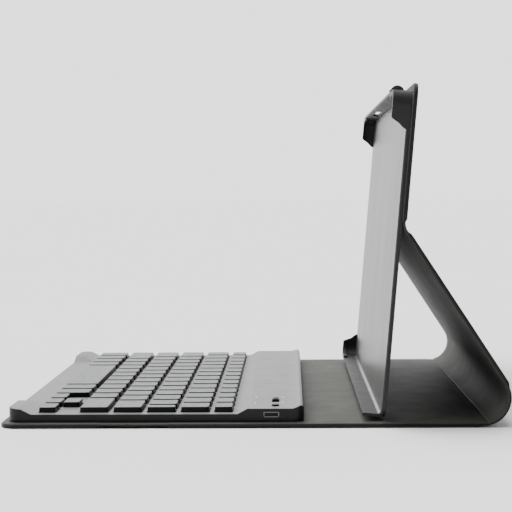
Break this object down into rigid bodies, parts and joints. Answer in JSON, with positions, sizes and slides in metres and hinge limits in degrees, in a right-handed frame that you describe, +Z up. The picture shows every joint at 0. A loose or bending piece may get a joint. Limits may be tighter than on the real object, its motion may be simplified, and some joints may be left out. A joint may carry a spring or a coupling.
{
  "type": "tablet keyboard case",
  "caption": "Folding leather-look tablet case with a strut stand, a clip-in tablet tray and a lift-off wireless keyboard.",
  "frame": {"origin": "middle of the footprint, on the face that rests on the table", "axes": "+X to the user's right, +Y away from the user, +Z up"},
  "size_m": [0.253, 0.2459, 0.1646],
  "materials": {
    "cover_leather": "fine-grained black imitation leather, satin",
    "cover_lining": "short-napped olive grey microfibre",
    "stiffener_board": "pressed fibre board",
    "magnet": "nickel plated",
    "adhesive": "double-sided adhesive sheet",
    "tray_black": "black moulded plastic, satin",
    "tray_liner": "light grey satin sheet",
    "black_rubber": "black rubber",
    "case_black": "black moulded plastic",
    "case_silver": "silver grey satin paint",
    "steel": "thin sheet steel",
    "film": "printed polyester film",
    "dome_rubber": "translucent silicone",
    "link_plastic": "moulded white plastic",
    "circuit_green": "green solder mask",
    "cell_foil": "foil pouch",
    "light_pipe": "clear light guide",
    "keycap": "grey satin plastic"
  },
  "bodies": {
    "base": {"base_skin": "cover_leather", "base_board": "stiffener_board", "base_lining": "cover_lining", "base_magnets": "magnet"},
    "flap_strip": {"flap_strip_skin": "cover_leather", "flap_strip_lining": "cover_lining"},
    "flap": {"flap_skin": "cover_leather", "flap_board": "stiffener_board", "flap_lining": "cover_lining", "flap_magnets": "magnet"},
    "spine_lower": {"spine_lower_skin": "cover_leather", "spine_lower_lining": "cover_lining"},
    "spine_upper": {"spine_upper_skin": "cover_leather", "spine_upper_lining": "cover_lining"},
    "strut": {"strut_hinge_strip": "cover_leather", "strut_skin": "cover_leather", "strut_board": "stiffener_board", "strut_lining": "cover_lining"},
    "tray": {"upper_skin": "cover_leather", "upper_board": "stiffener_board", "upper_adhesive": "adhesive", "holder_tray": "tray_black", "holder_liner": "tray_liner", "top_bumper": "black_rubber", "shelf_bar": "black_rubber", "shelf_magnets": "magnet"},
    "keyboard": {"kb_bottom_case": "case_black", "kb_top_case": "case_silver", "kb_feet": "black_rubber", "kb_screws": "steel", "kb_magnets": "magnet", "key_plate": "steel", "membrane": "film", "rubber_domes": "dome_rubber", "scissor_links": "link_plastic", "circuit_board": "circuit_green", "battery": "cell_foil", "flat_cable": "film", "usb_socket": "steel", "led_pipes": "light_pipe"},
    "power_slider": {"power_switch": "case_black"},
    "connect": {"connect_button": "case_black"},
    "function_row": {"function_keys": "keycap"},
    "number_row": {"number_keys": "keycap"},
    "backspace": {"backspace_key": "keycap"},
    "tab": {"tab_key": "keycap"},
    "upper_letters": {"upper_letter_keys": "keycap"},
    "caps": {"caps_key": "keycap"},
    "home_letters": {"home_letter_keys": "keycap"},
    "enter": {"enter_key": "keycap"},
    "left_shift": {"left_shift_key": "keycap"},
    "lower_letters": {"lower_letter_keys": "keycap"},
    "right_shift": {"right_shift_key": "keycap"},
    "modifiers": {"modifier_keys": "keycap"},
    "space": {"space_bar": "keycap"},
    "arrow_left": {"arrow_left_key": "keycap"},
    "arrow_right": {"arrow_right_key": "keycap"},
    "arrow_up": {"arrow_up_key": "keycap"},
    "arrow_down": {"arrow_down_key": "keycap"}
  },
  "joints": [
    {"name": "keyboard_lift", "type": "slide", "parent": "base", "child": "keyboard", "axis": [0, 0, 1], "range_m": [0, 0.22]},
    {"name": "flap_strip_fold", "type": "hinge", "parent": "base", "child": "flap_strip", "pos_m": [0, -0.04135, 0.00165], "axis": [-1, 0, 0], "range_deg": [0, 90]},
    {"name": "flap_fold", "type": "hinge", "parent": "flap_strip", "child": "flap", "pos_m": [0, -0.07455, 0.00165], "axis": [-1, 0, 0], "range_deg": [0, 90]},
    {"name": "cover_open", "type": "hinge", "parent": "base", "child": "spine_lower", "pos_m": [0, 0.10965, 0.00155], "axis": [-1, 0, 0], "range_deg": [0, 26]},
    {"name": "spine_bend", "type": "hinge", "parent": "spine_lower", "child": "spine_upper", "pos_m": [0, 0.12077, 0.00816], "axis": [-1, 0, 0], "range_deg": [0, 53]},
    {"name": "spine_top_bend", "type": "hinge", "parent": "spine_upper", "child": "strut", "pos_m": [0, 0.12026, 0.02109], "axis": [-1, 0, 0], "range_deg": [0, 27]},
    {"name": "tray_fold", "type": "hinge", "parent": "strut", "child": "tray", "pos_m": [0, 0.07272, 0.09586], "axis": [1, 0, 0], "range_deg": [-18, 36]},
    {"name": "power_slide", "type": "slide", "parent": "keyboard", "child": "power_slider", "axis": [1, 0, 0], "range_m": [0, 0.003]},
    {"name": "connect_press", "type": "slide", "parent": "keyboard", "child": "connect", "axis": [0, 0, -1], "range_m": [0, 0.0006], "stiffness_N_per_m": 800},
    {"name": "function_row_press", "type": "slide", "parent": "keyboard", "child": "function_row", "axis": [0, 0, -1], "range_m": [0, 0.0012], "stiffness_N_per_m": 450},
    {"name": "number_row_press", "type": "slide", "parent": "keyboard", "child": "number_row", "axis": [0, 0, -1], "range_m": [0, 0.0012], "stiffness_N_per_m": 450},
    {"name": "backspace_press", "type": "slide", "parent": "keyboard", "child": "backspace", "axis": [0, 0, -1], "range_m": [0, 0.0012], "stiffness_N_per_m": 450},
    {"name": "tab_press", "type": "slide", "parent": "keyboard", "child": "tab", "axis": [0, 0, -1], "range_m": [0, 0.0012], "stiffness_N_per_m": 450},
    {"name": "upper_letters_press", "type": "slide", "parent": "keyboard", "child": "upper_letters", "axis": [0, 0, -1], "range_m": [0, 0.0012], "stiffness_N_per_m": 450},
    {"name": "caps_press", "type": "slide", "parent": "keyboard", "child": "caps", "axis": [0, 0, -1], "range_m": [0, 0.0012], "stiffness_N_per_m": 450},
    {"name": "home_letters_press", "type": "slide", "parent": "keyboard", "child": "home_letters", "axis": [0, 0, -1], "range_m": [0, 0.0012], "stiffness_N_per_m": 450, "deforming": ["rubber_domes", "scissor_links"]},
    {"name": "enter_press", "type": "slide", "parent": "keyboard", "child": "enter", "axis": [0, 0, -1], "range_m": [0, 0.0012], "stiffness_N_per_m": 450},
    {"name": "left_shift_press", "type": "slide", "parent": "keyboard", "child": "left_shift", "axis": [0, 0, -1], "range_m": [0, 0.0012], "stiffness_N_per_m": 450},
    {"name": "lower_letters_press", "type": "slide", "parent": "keyboard", "child": "lower_letters", "axis": [0, 0, -1], "range_m": [0, 0.0012], "stiffness_N_per_m": 450},
    {"name": "right_shift_press", "type": "slide", "parent": "keyboard", "child": "right_shift", "axis": [0, 0, -1], "range_m": [0, 0.0012], "stiffness_N_per_m": 450},
    {"name": "modifiers_press", "type": "slide", "parent": "keyboard", "child": "modifiers", "axis": [0, 0, -1], "range_m": [0, 0.0012], "stiffness_N_per_m": 450},
    {"name": "space_press", "type": "slide", "parent": "keyboard", "child": "space", "axis": [0, 0, -1], "range_m": [0, 0.0012], "stiffness_N_per_m": 450},
    {"name": "arrow_left_press", "type": "slide", "parent": "keyboard", "child": "arrow_left", "axis": [0, 0, -1], "range_m": [0, 0.0012], "stiffness_N_per_m": 450},
    {"name": "arrow_right_press", "type": "slide", "parent": "keyboard", "child": "arrow_right", "axis": [0, 0, -1], "range_m": [0, 0.0012], "stiffness_N_per_m": 450},
    {"name": "arrow_up_press", "type": "slide", "parent": "keyboard", "child": "arrow_up", "axis": [0, 0, -1], "range_m": [0, 0.0012], "stiffness_N_per_m": 450},
    {"name": "arrow_down_press", "type": "slide", "parent": "keyboard", "child": "arrow_down", "axis": [0, 0, -1], "range_m": [0, 0.0012], "stiffness_N_per_m": 450}
  ],
  "couplings": [
    {"joint": "flap_strip_fold", "follows": "keyboard_lift", "rad_per_m": 7.1},
    {"joint": "flap_fold", "follows": "keyboard_lift", "rad_per_m": 7.1},
    {"joint": "spine_bend", "follows": "cover_open", "ratio": 2},
    {"joint": "spine_top_bend", "follows": "cover_open", "ratio": 1}
  ]
}
